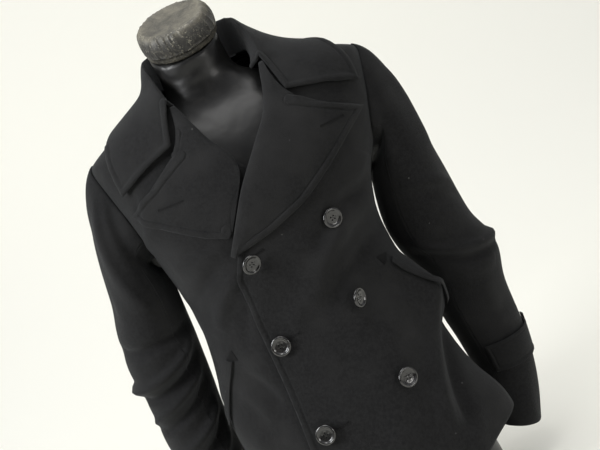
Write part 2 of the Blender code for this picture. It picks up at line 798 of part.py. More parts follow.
make_back("back", wool)
make_front("front_left", 1, wool)
make_front("front_right", -1, wool)
make_lapel("lapel_left", LAPEL_OVER, 1, wool)
make_lapel("lapel_right", LAPEL_UNDER, -1, wool)
make_collar("collar", wool)
fore, hind = SLEEVE_SEAMS
for side, word, table in ((1, "left", SLEEVE_LEFT), (-1, "right", SLEEVE_RIGHT)):
    make_sleeve(f"sleeve_{word}_top", side, table, (hind - 360, fore, 11), wool)
    make_sleeve(f"sleeve_{word}_under", side, table, (fore, hind, 9), wool)
    band = spread(hind - 350, fore - 8, 12)
    strap_out = LAYER_GAP + STRAP_WALL
    low, high = STRAP_HEIGHTS
    make_strap(f"cuff_strap_{word}", side, table, band, spread(low, high, 3), strap_out, STRAP_WALL, wool)
    loop = spread(-12, -1, 3)
    loop_heights = (low - 0.006, low + 0.012, high - 0.012, high + 0.006)
    loop_out = strap_out + LAYER_GAP + WELT_WALL
    make_strap(f"strap_loop_{word}", side, table, loop, loop_heights, loop_out, WELT_WALL, wool)
make_welt("pocket_welt_left", POCKET_LEFT, parts.objects["front_left"], wool)
make_welt("pocket_welt_right", POCKET_RIGHT, parts.objects["front_right"], wool)
button = make_button_mesh(horn)
for name, x, height in BUTTONS:
    place_button(name, button, x, height)
make_form(cover)
make_cap(cover)
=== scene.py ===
"""A wool pea coat, buttoned on a smooth limbless dress form."""

import math

import bpy
import numpy as np
from mathutils import Euler, Matrix, Vector, kdtree, noise
from mathutils.bvhtree import BVHTree


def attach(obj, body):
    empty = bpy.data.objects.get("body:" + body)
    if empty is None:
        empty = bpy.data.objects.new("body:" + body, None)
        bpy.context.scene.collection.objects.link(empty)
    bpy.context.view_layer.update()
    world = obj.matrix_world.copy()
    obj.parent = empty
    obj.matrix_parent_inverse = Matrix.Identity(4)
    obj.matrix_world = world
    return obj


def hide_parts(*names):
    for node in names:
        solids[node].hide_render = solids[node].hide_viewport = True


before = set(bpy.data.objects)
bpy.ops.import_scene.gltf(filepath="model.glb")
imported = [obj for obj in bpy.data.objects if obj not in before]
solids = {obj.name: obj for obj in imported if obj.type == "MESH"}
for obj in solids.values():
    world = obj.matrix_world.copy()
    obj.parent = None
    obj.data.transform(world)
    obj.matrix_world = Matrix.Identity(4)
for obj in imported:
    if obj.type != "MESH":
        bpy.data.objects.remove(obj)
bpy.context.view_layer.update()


# ---- The coat's back
# One panel of heavy wool melton from shoulder to hem. It is pressed smooth over the shoulder
# blades, drawn in at the waist, and falls in long shallow flutes to the hem.

def fresh_selection(*pieces):
    """Nothing selected but these pieces, the first of them active."""
    bpy.ops.object.select_all(action="DESELECT")
    for piece in pieces:
        piece.select_set(True)
    bpy.context.view_layer.objects.active = pieces[0]


def points_of(piece):
    places = np.empty(len(piece.data.vertices) * 3)
    piece.data.vertices.foreach_get("co", places)
    return places.reshape(-1, 3)


def normals_of(piece):
    ways = np.empty(len(piece.data.vertices) * 3)
    piece.data.vertices.foreach_get("normal", ways)
    return ways.reshape(-1, 3)


def put_points(piece, places):
    piece.data.vertices.foreach_set("co", places.ravel())
    piece.data.update()


def cloth_from(solid, wall, rounds=3):
    """A panel's solid sewn back into four-sided faces and rounded, its cut edges kept crisp."""
    piece = bpy.data.objects.new(f"{solid}_cloth", solids[solid].data.copy())
    bpy.context.scene.collection.objects.link(piece)
    piece.data.materials.clear()
    fresh_selection(piece)
    bpy.ops.object.mode_set(mode="EDIT")
    bpy.ops.mesh.select_all(action="SELECT")
    bpy.ops.mesh.remove_doubles(threshold=0.00002)
    bpy.ops.mesh.tris_convert_to_quads(face_threshold=math.radians(70), shape_threshold=math.radians(85))
    bpy.ops.object.mode_set(mode="OBJECT")

    mesh = piece.data
    corners = [vertex.co for vertex in mesh.vertices]
    around = {}
    for face in mesh.polygons:
        for key in face.edge_keys:
            around.setdefault(key, []).append(face)
    cut = set()
    for key, faces in around.items():
        if len(faces) != 2 or faces[0].normal.angle(faces[1].normal, 0) < math.radians(52):
            continue
        for face in faces:
            sides = [(corners[a] - corners[b]).length for a, b in face.edge_keys if (a, b) != key]
            if min(sides) < wall * 1.6 and (corners[key[0]] - corners[key[1]]).length > min(sides) * 0.9:
                cut.add(key)
    for edge in mesh.edges:
        edge.select = edge.key in cut
    for face in mesh.polygons:
        face.select = False
    rim = [((corners[a] + corners[b]) / 2, corners[a].copy(), corners[b].copy()) for a, b in cut]
    bpy.ops.object.mode_set(mode="EDIT")
    bpy.ops.mesh.select_mode(type="EDGE")
    bpy.ops.transform.edge_crease(value=1)
    bpy.ops.object.mode_set(mode="OBJECT")
    smooth = piece.modifiers.new("smooth", "SUBSURF")
    smooth.levels = smooth.render_levels = rounds
    bpy.ops.object.modifier_apply(modifier="smooth")
    bpy.ops.object.shade_smooth()
    return piece, rim


def nearest(rows, places):
    """Distance in the plane from each place to a row of points."""
    best = np.full(len(places), 9.0)
    for (ax, ay), (bx, by) in zip(rows, rows[1:]):
        a, along = np.array((ax, ay)), np.array((bx - ax, by - ay))
        t = np.clip(((places - a) @ along) / (along @ along), 0, 1)
        best = np.minimum(best, np.linalg.norm(places - a - t[:, None] * along, axis=1))
    return best


def crease_height(places, creases):
    """How far cloth stands out at each place of a flat chart, from rows of
    (from, to, bow, half width over, half width under, rise). Every crease is soft and tapers."""
    total = np.zeros(len(places))
    for (ax, ay), (bx, by), bow, over, under, rise in creases:
        a, along = np.array((ax, ay)), np.array((bx - ax, by - ay))
        length = np.linalg.norm(along)
        along = along / length
        side = np.array((-along[1], along[0]))
        t = (places - a) @ along / length
        middle = 1 - (2 * np.clip(t, 0, 1) - 1) ** 2
        away = (places - a) @ side - bow * middle
        wide = np.where(away > 0, over, under)
        past = np.maximum(np.maximum(-t, t - 1), 0) * length
        fade = np.exp(-((past / (0.6 * (over + under))) ** 2)) * (0.35 + 0.65 * np.sqrt(middle))
        total += rise * np.exp(-((away / wide) ** 2)) * fade
    return total


BACK_CREASES = (
    ((-0.118, 0.120), (-0.090, 0.372), 0.010, 0.020, 0.026, 0.0060),
    ((-0.062, 0.100), (-0.066, 0.330), -0.006, 0.020, 0.016, -0.0050),
    ((-0.018, 0.110), (-0.006, 0.395), 0.008, 0.024, 0.018, 0.0045),
    ((0.046, 0.100), (0.050, 0.300), 0.004, 0.018, 0.022, -0.0055),
    ((0.102, 0.130), (0.080, 0.402), -0.009, 0.022, 0.020, 0.0058),
    ((-0.128, 0.470), (-0.030, 0.428), 0.006, 0.012, 0.009, -0.0034),
    ((-0.104, 0.512), (-0.046, 0.486), 0.004, 0.010, 0.013, 0.0026),
    ((0.126, 0.452), (0.038, 0.420), -0.006, 0.010, 0.012, -0.0030),
    ((0.110, 0.492), (0.058, 0.462), -0.004, 0.012, 0.010, 0.0024),
    ((0.020, 0.446), (-0.040, 0.408), 0.003, 0.009, 0.012, 0.0022),
    ((-0.182, 0.600), (-0.120, 0.690), 0.008, 0.014, 0.010, -0.0028),
    ((0.186, 0.596), (0.128, 0.684), -0.008, 0.010, 0.014, -0.0030),
)
FRONT_CREASES = (
    ((-0.076, 0.492), (-0.140, 0.428), -0.006, 0.010, 0.013, 0.0062),
    ((-0.100, 0.510), (-0.166, 0.470), -0.004, 0.011, 0.010, -0.0048),
    ((-0.084, 0.452), (-0.112, 0.398), -0.004, 0.010, 0.010, -0.0030),
    ((-0.160, 0.532), (-0.078, 0.540), -0.006, 0.012, 0.016, 0.0030),
    ((-0.182, 0.570), (-0.148, 0.650), -0.006, 0.009, 0.014, 0.0032),
    ((-0.142, 0.402), (-0.186, 0.318), 0.004, 0.008, 0.014, 0.0034),
    ((-0.140, 0.358), (-0.112, 0.302), 0.004, 0.009, 0.010, -0.0050),
    ((-0.152, 0.340), (-0.128, 0.284), 0.004, 0.012, 0.009, 0.0030),
    ((-0.160, 0.270), (-0.126, 0.190), -0.008, 0.014, 0.018, 0.0048),
    ((-0.112, 0.090), (-0.104, 0.205), 0.004, 0.014, 0.016, -0.0044),
    ((0.130, 0.498), (0.008, 0.434), -0.012, 0.013, 0.020, 0.0066),
    ((0.136, 0.524), (0.030, 0.476), -0.010, 0.011, 0.012, -0.0050),
    ((0.120, 0.452), (0.022, 0.404), -0.006, 0.012, 0.012, -0.0042),
    ((0.016, 0.424), (-0.050, 0.396), -0.006, 0.018, 0.016, 0.0034),
    ((0.150, 0.560), (0.112, 0.526), 0.004, 0.010, 0.015, 0.0034),
    ((0.166, 0.548), (0.150, 0.490), 0.004, 0.008, 0.012, -0.0034),
    ((0.104, 0.410), (0.168, 0.338), 0.008, 0.010, 0.016, 0.0040),
    ((0.092, 0.392), (0.136, 0.330), 0.006, 0.012, 0.009, -0.0026),
    ((0.160, 0.338), (0.090, 0.180), -0.012, 0.009, 0.016, 0.0070),
    ((0.168, 0.300), (0.112, 0.160), -0.012, 0.012, 0.009, -0.0086),
    ((0.112, 0.110), (0.124, 0.170), 0.006, 0.014, 0.018, 0.0040),
    ((0.020, 0.100), (0.022, 0.214), 0.004, 0.022, 0.018, 0.0040),
    ((-0.036, 0.320), (0.016, 0.286), 0.005, 0.014, 0.016, -0.0022),
)


def body_swell(places):
    """How the folds move the coat's body here: out from its middle, by the front's and the
    back's own rows of creases, with the cloth's slight unevenness."""
    out = np.stack([places[:, 0] / 0.030, places[:, 1] / 0.020, np.zeros(len(places))], axis=1)
    out /= np.maximum(np.linalg.norm(out, axis=1), 1e-6)[:, None]
    chart = places[:, (0, 2)]
    facing = np.clip(-places[:, 1] / 0.030, -1, 1)
    rise = crease_height(chart, FRONT_CREASES) * np.maximum(facing, 0)
    rise += crease_height(chart, BACK_CREASES) * np.maximum(-facing, 0)
    uneven = np.array([noise.noise(Vector(place) * 21) + 0.5 * noise.noise(Vector(place) * 47) for place in places])
    return out * (1.3 * rise + 0.0007 * uneven)[:, None]


def rim_points(rim, keep):
    """Points every millimetre along the cut edges that `keep` names."""
    found = []
    for middle, a, b in rim:
        if not keep(middle):
            continue
        steps = max(int((b - a).length / 0.001), 1)
        found += [a.lerp(b, i / steps) for i in range(steps + 1)]
    return found


def finer_near(piece, edge, within, cuts):
    """More faces beside the named edges, where a stitched edge needs them."""
    tree = kdtree.KDTree(len(edge))
    for i, point in enumerate(edge):
        tree.insert(point, i)
    tree.balance()
    near = [tree.find(vertex.co)[2] < within for vertex in piece.data.vertices]
    for vertex in piece.data.vertices:
        vertex.select = False
    for line in piece.data.edges:
        line.select = False
    for face in piece.data.polygons:
        face.select = all(near[i] for i in face.vertices)
    fresh_selection(piece)
    bpy.ops.object.mode_set(mode="EDIT")
    bpy.ops.mesh.select_mode(type="FACE")
    bpy.ops.mesh.subdivide(number_cuts=cuts)
    bpy.ops.object.mode_set(mode="OBJECT")
    return tree


def stitch_edge(piece, edge, puff=0.0010, stitch=0.0088, cuts=2, bare=()):
    """Plumps the turned edge and draws it in again along a row of stitches. It dies away
    towards any `bare` edge, which is sewn in or rolled rather than turned."""
    tree = finer_near(piece, edge, stitch + 0.005, cuts)
    places, ways = points_of(piece), normals_of(piece)
    away = np.array([tree.find(place)[2] for place in places])
    strength = np.ones(len(places))
    if len(bare):
        plain = kdtree.KDTree(len(bare))
        for i, point in enumerate(bare):
            plain.insert(point, i)
        plain.balance()
        strength = np.clip(np.array([plain.find(place)[2] for place in places]) / 0.009, 0, 1)
    swell = puff * np.sin(np.pi * np.clip(away / stitch, 0, 1)) ** 0.6
    groove = -0.00085 * np.exp(-(((away - stitch) / 0.0011) ** 2))
    lip = -0.0004 * np.exp(-((away / 0.0009) ** 2))
    put_points(piece, places + ways * (strength * (swell + groove + lip))[:, None])


def mix_colours(nodes, links, factor, dark, light, blend="MIX"):
    mix = nodes.new("ShaderNodeMix")
    mix.data_type = "RGBA"
    mix.blend_type = blend
    mix.inputs["A"].default_value = (*dark, 1)
    mix.inputs["B"].default_value = (*light, 1)
    links.new(factor, mix.inputs["Factor"])
    return mix


def noise_node(nodes, links, vector, scale, detail=3.0, rough=0.6, warp=0.0):
    made = nodes.new("ShaderNodeTexNoise")
    made.inputs["Scale"].default_value = scale
    made.inputs["Detail"].default_value = detail
    made.inputs["Roughness"].default_value = rough
    made.inputs["Distortion"].default_value = warp
    links.new(vector, made.inputs["Vector"])
    return made


def ramp_node(nodes, links, value, low, high):
    made = nodes.new("ShaderNodeMapRange")
    made.interpolation_type = "SMOOTHSTEP"
    made.inputs["From Min"].default_value = low
    made.inputs["From Max"].default_value = high
    links.new(value, made.inputs["Value"])
    return made.outputs["Result"]


def make_nap_group():
    """Felted wool: a fine nap over small clumps of fibre, with the odd speck of lint."""
    group = bpy.data.node_groups.new("felted_wool", "ShaderNodeTree")
    face = group.interface
    face.new_socket("Place", in_out="INPUT", socket_type="NodeSocketVector")
    face.new_socket("Nap Height", in_out="OUTPUT", socket_type="NodeSocketFloat")
    face.new_socket("Clumps", in_out="OUTPUT", socket_type="NodeSocketFloat")
    face.new_socket("Lint", in_out="OUTPUT", socket_type="NodeSocketFloat")
    nodes, links = group.nodes, group.links
    enter, leave = nodes.new("NodeGroupInput"), nodes.new("NodeGroupOutput")
    place = enter.outputs["Place"]
    fibre = noise_node(nodes, links, place, 1500, 4, 0.7, 0.6)
    tuft = noise_node(nodes, links, place, 420, 3, 0.6, 1.2)
    height = nodes.new("ShaderNodeMath")
    height.operation = "MULTIPLY_ADD"
    height.inputs[1].default_value = 0.55
    links.new(fibre.outputs["Fac"], height.inputs[0])
    links.new(tuft.outputs["Fac"], height.inputs[2])
    links.new(height.outputs["Value"], leave.inputs["Nap Height"])
    clump = noise_node(nodes, links, place, 230, 5, 0.8)
    links.new(ramp_node(nodes, links, clump.outputs["Fac"], 0.40, 0.60), leave.inputs["Clumps"])
    cells = nodes.new("ShaderNodeTexVoronoi")
    cells.inputs["Scale"].default_value = 46
    links.new(place, cells.inputs["Vector"])
    near = nodes.new("ShaderNodeMath")
    near.operation = "LESS_THAN"
    near.inputs[1].default_value = 0.040
    links.new(cells.outputs["Distance"], near.inputs[0])
    few = nodes.new("ShaderNodeSeparateColor")
    links.new(cells.outputs["Color"], few.inputs["Color"])
    rare = nodes.new("ShaderNodeMath")
    rare.operation = "GREATER_THAN"
    rare.inputs[1].default_value = 0.90
    links.new(few.outputs["Red"], rare.inputs[0])
    both = nodes.new("ShaderNodeMath")
    both.operation = "MULTIPLY"
    links.new(near.outputs["Value"], both.inputs[0])
    links.new(rare.outputs["Value"], both.inputs[1])
    links.new(both.outputs["Value"], leave.inputs["Lint"])
    return group


felted_wool = make_nap_group()


def make_melton():
    """Black melton with a short brushed nap. It lightens where the light grazes the fibres."""
    material = bpy.data.materials.new("black_melton")
    material.use_nodes = True
    nodes, links = material.node_tree.nodes, material.node_tree.links
    shader = nodes["Principled BSDF"]
    where = nodes.new("ShaderNodeTexCoord")
    wool = nodes.new("ShaderNodeGroup")
    wool.node_tree = felted_wool
    links.new(where.outputs["Object"], wool.inputs["Place"])
    tone = mix_colours(nodes, links, wool.outputs["Clumps"], (0.0050, 0.0051, 0.0054), (0.0125, 0.0126, 0.0130))
    cloudy = noise_node(nodes, links, where.outputs["Object"], 11, 4, 0.6)
    worn = mix_colours(
        nodes, links, ramp_node(nodes, links, cloudy.outputs["Fac"], 0.42, 0.74),
        (0, 0, 0), (0.0150, 0.0150, 0.0152),
    )
    links.new(tone.outputs["Result"], worn.inputs["A"])
    lint = mix_colours(nodes, links, wool.outputs["Lint"], (0, 0, 0), (0.10, 0.10, 0.095))
    links.new(worn.outputs["Result"], lint.inputs["A"])
    links.new(lint.outputs["Result"], shader.inputs["Base Color"])
    rough = nodes.new("ShaderNodeMapRange")
    rough.inputs["To Min"].default_value = 0.82
    rough.inputs["To Max"].default_value = 0.95
    links.new(wool.outputs["Clumps"], rough.inputs["Value"])
    links.new(rough.outputs["Result"], shader.inputs["Roughness"])
    bump = nodes.new("ShaderNodeBump")
    bump.inputs["Strength"].default_value = 0.9
    bump.inputs["Distance"].default_value = 0.0009
    links.new(wool.outputs["Nap Height"], bump.inputs["Height"])
    links.new(bump.outputs["Normal"], shader.inputs["Normal"])
    shader.inputs["Specular IOR Level"].default_value = 0.16
    shader.inputs["Sheen Weight"].default_value = 0.065
    shader.inputs["Sheen Roughness"].default_value = 0.42
    shader.inputs["Sheen Tint"].default_value = (0.92, 0.96, 1.0, 1)
    return material


melton = make_melton()


def dress(piece, solid):
    piece.data.materials.append(melton)
    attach(piece, "root")
    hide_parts(solid)


back, _ = cloth_from("back", 0.002)
put_points(back, points_of(back) + body_swell(points_of(back)))
dress(back, "back")


# ---- The two fronts
# Each is one panel of the same melton. The wearer's left front lies over the right one, and its
# edge is turned, plumped and stitched in a line 9 mm from the edge. Long pulls run from the
# armholes and pockets towards the buttons.

for solid, lap in (("front_left", 1), ("front_right", -1)):
    front, rim = cloth_from(solid, 0.002)
    edge = rim_points(rim, lambda at: lap * at.x < -0.072 and at.z < 0.505)
    put_points(front, points_of(front) + body_swell(points_of(front)))
    stitch_edge(front, edge, puff=0.0011)
    dress(front, solid)


# ---- The lapels
# Each lapel is two layers of melton with canvas between, rolled out of its front along the break
# line. It is thick at its turned edge, with a stitched line all round, and lies on the front.

gorges = {
    "lapel_left": ((0.052, 0.770), (0.078, 0.731), (0.089, 0.667)),
    "lapel_right": ((-0.050, 0.770), (-0.0575, 0.731), (-0.0745, 0.6655)),
}
breaks = {
    "lapel_left": (
        (-0.090, 0.500), (-0.071, 0.518), (-0.047, 0.551), (-0.017, 0.592),
        (0.022, 0.632), (0.052, 0.664), (0.065, 0.690), (0.078, 0.731),
    ),
    "lapel_right": (
        (-0.052, 0.555), (-0.0385, 0.575), (-0.013, 0.612), (-0.011, 0.628),
        (-0.019, 0.642), (-0.037, 0.670), (-0.045, 0.692), (-0.0575, 0.731),
    ),
}
for solid, flat, area in (("lapel_left", (0.16, 0.27), 0.0265), ("lapel_right", (0.13, 0.24), 0.0195)):
    lapel, rim = cloth_from(solid, 0.002)

    def turned(at):
        place = np.array([(at.x, at.z)])
        clear_of_break = 0.006 if solid == "lapel_left" else 0.012
        return nearest(breaks[solid], place)[0] > clear_of_break and nearest(gorges[solid], place)[0] > 0.004

    edge = rim_points(rim, turned)
    bare = rim_points(rim, lambda at: not turned(at))
    put_points(lapel, points_of(lapel) + body_swell(points_of(lapel)))
    stitch_edge(lapel, edge, puff=0.0013, cuts=1, bare=bare)
    dress(lapel, solid)


# ---- The collar
# A broad collar, its stand and fall in one, rolled over at the neck. Its turned outer edge is as
# thick as the lapels' and stitched the same way.

collar, collar_rim = cloth_from("collar", 0.002)
uneven = np.array([[0.0008 * noise.noise(Vector(place) * 26)] for place in points_of(collar)])
put_points(collar, points_of(collar) + normals_of(collar) * uneven)
collar_edge = rim_points(collar_rim, lambda at: at.z < 0.7365 or (abs(at.x) < 0.13 and at.y > 0.055 and at.z < 0.76))
stitch_edge(collar, collar_edge, puff=0.0013, cuts=1)
dress(collar, "collar")


# ---- The sleeves
# Each sleeve is two pieces, a wide top and a narrow under sleeve, set into the armhole. The empty
# sleeves hang from the shoulder and buckle at the elbow, the wearer's right one the more.

ARM_LINE = {
    1: (
        (0.064, 0.197, 0.050), (0.190, 0.220, 0.050), (0.345, 0.223, 0.034),
        (0.520, 0.206, 0.014), (0.700, 0.195, 0.0),
    ),
    -1: (
        (0.052, -0.237, 0.042), (0.190, -0.253, 0.036), (0.360, -0.249, 0.014),
        (0.520, -0.229, 0.007), (0.700, -0.190, 0.0),
    ),
}
# Creases run on a chart of metres round the arm (0 outward, plus to the front) and height.
SLEEVE_CREASES = {
    1: (
        ((0.122, 0.396), (0.000, 0.358), 0.018, 0.014, 0.006, 0.0086),
        ((0.124, 0.376), (0.020, 0.342), 0.013, 0.006, 0.013, -0.0062),
        ((0.112, 0.344), (0.040, 0.322), 0.006, 0.014, 0.012, 0.0040),
        ((0.036, 0.456), (0.098, 0.488), 0.003, 0.009, 0.008, 0.0036),
        ((0.030, 0.438), (0.090, 0.462), 0.003, 0.008, 0.010, -0.0030),
        ((0.098, 0.640), (0.104, 0.500), -0.006, 0.010, 0.014, 0.0040),
        ((0.072, 0.650), (0.080, 0.520), 0.006, 0.012, 0.010, -0.0034),
        ((0.030, 0.650), (0.040, 0.520), -0.006, 0.016, 0.014, 0.0034),
        ((-0.050, 0.590), (-0.040, 0.420), 0.006, 0.014, 0.018, -0.0030),
        ((-0.060, 0.360), (-0.120, 0.400), 0.006, 0.008, 0.014, -0.0052),
        ((-0.050, 0.330), (-0.124, 0.366), 0.006, 0.010, 0.012, 0.0044),
        ((0.116, 0.262), (0.050, 0.244), 0.004, 0.010, 0.012, -0.0024),
        ((0.076, 0.300), (0.070, 0.225), -0.004, 0.012, 0.016, 0.0026),
        ((0.064, 0.130), (0.060, 0.050), 0.004, 0.014, 0.012, 0.0022),
    ),
    -1: (
        ((0.136, 0.446), (0.020, 0.452), 0.006, 0.012, 0.010, -0.0068),
        ((0.128, 0.424), (-0.004, 0.394), 0.016, 0.012, 0.008, 0.0092),
        ((0.128, 0.398), (0.020, 0.368), 0.010, 0.006, 0.009, -0.0078),
        ((0.127, 0.380), (0.014, 0.330), 0.006, 0.009, 0.008, 0.0080),
        ((0.128, 0.356), (0.036, 0.312), 0.006, 0.006, 0.010, -0.0072),
        ((0.132, 0.322), (0.050, 0.272), 0.006, 0.011, 0.008, 0.0082),
        ((0.136, 0.294), (0.052, 0.250), 0.007, 0.007, 0.010, -0.0066),
        ((0.132, 0.268), (0.040, 0.226), 0.008, 0.010, 0.009, 0.0052),
        ((0.046, 0.346), (-0.020, 0.318), 0.003, 0.011, 0.009, -0.0034),
        ((0.050, 0.670), (0.092, 0.496), -0.008, 0.008, 0.013, 0.0054),
        ((0.078, 0.650), (0.110, 0.520), -0.006, 0.013, 0.010, -0.0044),
        ((0.020, 0.640), (0.040, 0.500), -0.004, 0.012, 0.016, -0.0030),
        ((0.132, 0.590), (0.150, 0.470), 0.004, 0.010, 0.010, 0.0036),
        ((-0.046, 0.424), (-0.124, 0.448), 0.006, 0.011, 0.017, -0.0034),
        ((-0.058, 0.386), (-0.120, 0.404), 0.004, 0.014, 0.013, 0.0028),
        ((-0.070, 0.340), (-0.112, 0.372), 0.004, 0.011, 0.014, -0.0024),
        ((-0.040, 0.290), (-0.090, 0.180), 0.006, 0.017, 0.015, 0.0022),
    ),
}


CREASE_SHARPNESS = {1: (1.0, 1.2), -1: (0.82, 1.5)}  # by side: factor on each crease's widths, on its rise
SLEEVE_GIRTH = 0.052  # radius that turns an angle round the arm into a length of cloth


def sleeve_swell(places, side):
    """How the folds move a sleeve here: out from the arm's line, by that sleeve's creases."""
    line = np.array(ARM_LINE[side])
    middle = np.stack([np.interp(places[:, 2], line[:, 0], line[:, i]) for i in (1, 2)], axis=1)
    out = places[:, :2] - middle
    turn = np.arctan2(-out[:, 1], side * out[:, 0])
    chart = np.stack([turn * SLEEVE_GIRTH, places[:, 2]], axis=1)
    fade = np.clip((0.690 - places[:, 2]) / 0.06, 0, 1)
    narrower, taller = CREASE_SHARPNESS[side]
    creases = [
        (*ends, over * narrower, under * narrower, rise * taller)
        for *ends, over, under, rise in SLEEVE_CREASES[side]
    ]
    rise = crease_height(chart, creases) * fade
    uneven = np.array([noise.noise(Vector(place) * 24) for place in places])
    out /= np.maximum(np.linalg.norm(out, axis=1), 1e-6)[:, None]
    move = out * (rise + 0.0007 * uneven * fade)[:, None]
    return np.concatenate([move, np.zeros((len(places), 1))], axis=1)


def sew_in(piece, others, reach, low):
    """Draws the edge of a piece on to the pieces beside it, so that the seam closes."""
    trees = [
        BVHTree.FromPolygons([v.co for v in other.data.vertices], [f.vertices for f in other.data.polygons])
        for other in others
    ]
    places = points_of(piece)
    for i in np.flatnonzero(places[:, 2] > low):
        found = [hit for hit in (tree.find_nearest(Vector(places[i]), reach) for tree in trees) if hit[0]]
        if found:
            near = min(found, key=lambda hit: hit[3])
            share = 1 - near[3] / reach
            places[i] += np.array(near[0] - Vector(places[i]) - near[1] * 0.0009) * share * share * (3 - 2 * share)
    put_points(piece, places)


coat_body = [bpy.data.objects[name] for name in ("back_cloth", "front_left_cloth", "front_right_cloth")]
for side, word in ((1, "left"), (-1, "right")):
    for cut, width, length, area in (("top", 0.23, 0.66, 0.127), ("under", 0.16, 0.62, 0.091)):
        sleeve, rim = cloth_from(f"sleeve_{word}_{cut}", 0.002)
        put_points(sleeve, points_of(sleeve) + sleeve_swell(points_of(sleeve), side))
        if cut == "under":
            sew_in(sleeve, [bpy.data.objects[f"sleeve_{word}_top_cloth"]], 0.0025, 0.0)
        sew_in(sleeve, coat_body, 0.005, 0.52)
        dress(sleeve, f"sleeve_{word}_{cut}")


# ---- Cuff straps and their loops
# A band of doubled melton lies round each cuff, stitched along both edges, and passes through a
# narrow loop on the outer side.

for side, word in ((1, "left"), (-1, "right")):
    strap, rim = cloth_from(f"cuff_strap_{word}", 0.0022)
    put_points(strap, points_of(strap) + sleeve_swell(points_of(strap), side))
    stitch_edge(strap, rim_points(rim, lambda at: True), puff=0.0006, stitch=0.0060, cuts=1)
    dress(strap, f"cuff_strap_{word}")
    loop, rim = cloth_from(f"strap_loop_{word}", 0.0012)
    put_points(loop, points_of(loop) + sleeve_swell(points_of(loop), side))
    dress(loop, f"strap_loop_{word}")


# ---- Pocket welts
# A narrow welt finishes each slanting pocket mouth, with an arrow tack sewn at its upper end.

for word in ("left", "right"):
    welt, rim = cloth_from(f"pocket_welt_{word}", 0.0012)
    put_points(welt, points_of(welt) + body_swell(points_of(welt)))
    dress(welt, f"pocket_welt_{word}")


# ---- Buttonholes and arrow tacks
# Corded buttonholes are worked in both lapels and beside each fastened button, and a triangular
# tack of the same black twist closes the top of each pocket mouth.

def make_thread():
    material = bpy.data.materials.new("silk_twist")
    material.use_nodes = True
    nodes, links = material.node_tree.nodes, material.node_tree.links
    shader = nodes["Principled BSDF"]
    where = nodes.new("ShaderNodeTexCoord")
    strand = noise_node(nodes, links, where.outputs["Object"], 2400, 3, 0.6)
    tone = mix_colours(nodes, links, strand.outputs["Fac"], (0.0028, 0.0028, 0.0030), (0.0090, 0.0090, 0.0094))
    links.new(tone.outputs["Result"], shader.inputs["Base Color"])
    shader.inputs["Roughness"].default_value = 0.8
    shader.inputs["Specular IOR Level"].default_value = 0.2
    return material


thread = make_thread()


def strand_along(points, radius, closed):
    """A round cord through these points of a flat chart, as a mesh."""
    bpy.ops.object.select_all(action="DESELECT")
    curve = bpy.data.curves.new("cord", "CURVE")
    curve.dimensions = "3D"
    curve.bevel_depth = radius
    curve.bevel_resolution = 2
    curve.use_fill_caps = True
    line = curve.splines.new("POLY")
    line.points.add(len(points) - 1)
    for point, (x, y, z) in zip(line.points, points):
        point.co = (x, y, z, 1)
    line.use_cyclic_u = closed
    cord = bpy.data.objects.new("cord", curve)
    bpy.context.scene.collection.objects.link(cord)
    fresh_selection(cord)
    bpy.ops.object.convert(target="MESH")
    return bpy.context.object


def lay_on(piece, name, cloth_name, start, way):
    """Lays a piece modelled on a flat chart on the front of a cloth, x along `way`."""
    target = bpy.data.objects[cloth_name]
    tree = BVHTree.FromPolygons([v.co for v in target.data.vertices], [f.vertices for f in target.data.polygons])
    ahead = Vector((way[0], way[1])).normalized()
    for vertex in piece.data.vertices:
        x, y, z = vertex.co
        at = Vector((start[0] + ahead.x * x - ahead.y * y, -0.4, start[1] + ahead.y * x + ahead.x * y))
        hit, normal, _, _ = tree.ray_cast(at, Vector((0, 1, 0)))
        out = normal if normal.y < 0 else -normal
        vertex.co = hit + out * z
    piece.name = name
    piece.data.materials.clear()
    piece.data.materials.append(thread)
    bpy.ops.object.select_all(action="DESELECT")
    for face in piece.data.polygons:
        face.use_smooth = True
    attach(piece, "root")


def make_buttonhole(name, cloth_name, start, end):
    """Two close rows of purl stitches with a round eye at the start."""
    way = Vector(end) - Vector(start)
    length = way.length
    path = []
    for i in range(13):
        angle = math.radians(40 + 280 * i / 12)
        path.append((0.0016 + 0.0017 * math.cos(angle), 0.0017 * math.sin(angle), 0.0004))
    steps = 24
    below = [(0.0034 + (length - 0.0034) * i / steps, -0.00085, 0.0004 + 0.00012 * (i % 2)) for i in range(steps + 1)]
    above = [(x, -y, z) for x, y, z in reversed(below)]
    hole = strand_along(path + below + above, 0.00052, True)
    lay_on(hole, name, cloth_name, start, way)


for name, cloth_name, start, end in (
    ("lapel_hole_right", "lapel_right_cloth", (-0.136, 0.6165), (-0.099, 0.6140)),
    ("lapel_hole_left", "lapel_left_cloth", (0.146, 0.6190), (0.109, 0.6200)),
    ("hole_1", "front_left_cloth", (-0.0330, 0.5085), (-0.0520, 0.5060)),
    ("hole_2", "front_left_cloth", (-0.0400, 0.3850), (-0.0600, 0.3830)),
    ("hole_3", "front_left_cloth", (-0.0350, 0.2500), (-0.0580, 0.2475)),
):
    make_buttonhole(name, cloth_name, start, end)


def make_tack(name, cloth_name, start, way):
    """Satin stitches across a small triangle, widest at the pocket and pointed beyond it."""
    bars = []
    for i in range(16):
        x = 0.0009 * i
        half = 0.0076 * (1 - i / 16) + 0.0004
        bow = [(x - 0.0012 * (1 - abs(k) / 2), half * k / 2, 0.0007 - 0.00016 * abs(k)) for k in (-2, -1, 0, 1, 2)]
        bars.append(strand_along(bow, 0.00042, False))
    fresh_selection(*bars)
    bpy.ops.object.join()
    lay_on(bpy.context.object, name, cloth_name, start, way)


make_tack("tack_right", "front_right_cloth", (-0.1445, 0.3830), (0.35, 1.0))
make_tack("tack_left", "front_left_cloth", (0.1110, 0.4130), (-0.9, 0.75))


